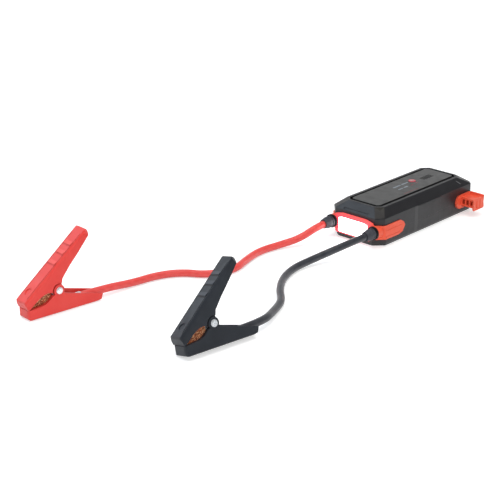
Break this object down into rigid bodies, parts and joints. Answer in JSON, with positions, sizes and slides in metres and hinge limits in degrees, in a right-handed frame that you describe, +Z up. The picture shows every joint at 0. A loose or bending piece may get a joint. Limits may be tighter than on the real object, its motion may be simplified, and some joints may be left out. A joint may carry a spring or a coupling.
{
  "type": "jump starter pack",
  "caption": "Portable jump starter pack with a lit work lamp, side clamp holders and two short leads that end in insulated battery clamps with copper jaws.",
  "frame": {"origin": "middle of the flat base of the battery housing, on the floor", "axes": "+Z up; -Y out of the lamp and cable end of the housing, +Y its other end; +X to the right of the housing as seen from its rear"},
  "size_m": [0.2203, 0.5974, 0.0848],
  "materials": {
    "housing": "fine grained dark grey moulding",
    "panel": "satin black",
    "window": "dark gloss",
    "button": "satin red",
    "orange": "satin orange red",
    "lens": "frosted, lit",
    "reflector": "bright white",
    "board": "green lacquer",
    "components": "dark mouldings",
    "chips": "pale yellow",
    "alloy": "brushed",
    "copper": "bare copper",
    "steel": "bright",
    "cell_foil": "soft foil",
    "foam": "closed foam",
    "gland_rubber": "soft dark grey",
    "red_cable": "red jacket",
    "black_cable": "black jacket",
    "red_clamp": "satin red",
    "black_clamp": "satin black"
  },
  "bodies": {
    "pack": {"lower_shell": "housing", "upper_shell": "housing", "top_panel": "panel", "display_window": "window", "display_board": "board", "display_module": "components", "button_switch": "components", "front_frame": "orange", "lamp_lens": "lens", "lamp_reflector": "reflector", "lamp_board": "board", "light_chips": "chips", "cable_gland_red": "gland_rubber", "cable_gland_black": "gland_rubber", "inner_leads": "black_cable", "lead_lugs": "copper", "bus_bars": "copper", "battery_cells": "cell_foil", "cell_pads": "foam", "main_board": "board", "board_parts": "components", "heat_sink": "alloy", "charge_socket": "steel", "socket_board": "board", "housing_screws": "steel", "holder_screws": "steel", "clamp_holder_left": "orange", "clamp_holder_right": "orange", "red_lead": "red_cable", "black_lead": "black_cable", "red_lower_arm": "red_clamp", "red_lower_jaw": "copper", "red_pivot_rivet": "steel", "red_clamp_spring": "steel", "red_lead_crimp": "copper", "black_lower_arm": "black_clamp", "black_lower_jaw": "copper", "black_pivot_rivet": "steel", "black_clamp_spring": "steel", "black_lead_crimp": "copper"},
    "button": {"power_button": "button"},
    "red_jaw": {"red_upper_arm": "red_clamp", "red_upper_jaw": "copper"},
    "black_jaw": {"black_upper_arm": "black_clamp", "black_upper_jaw": "copper"}
  },
  "joints": [
    {"name": "red_clamp_hinge", "type": "hinge", "parent": "pack", "child": "red_jaw", "pos_m": [-0.10637, -0.46235, 0.02498], "axis": [-0.9893, 0.1412, -0.0366], "range_deg": [0, 38], "stiffness_Nm_per_rad": 1.2, "springref_deg": -45.84, "deforming": ["red_clamp_spring"]},
    {"name": "black_clamp_hinge", "type": "hinge", "parent": "pack", "child": "black_jaw", "pos_m": [0.0754, -0.41875, 0.02621], "axis": [-0.9542, 0.138, -0.2656], "range_deg": [0, 38], "stiffness_Nm_per_rad": 1.2, "springref_deg": -45.84, "deforming": ["black_clamp_spring"]},
    {"name": "power_button_press", "type": "slide", "parent": "pack", "child": "button", "axis": [0, 0, -1], "range_m": [0, 0.0008], "stiffness_N_per_m": 400, "springref_m": -0.0006}
  ]
}
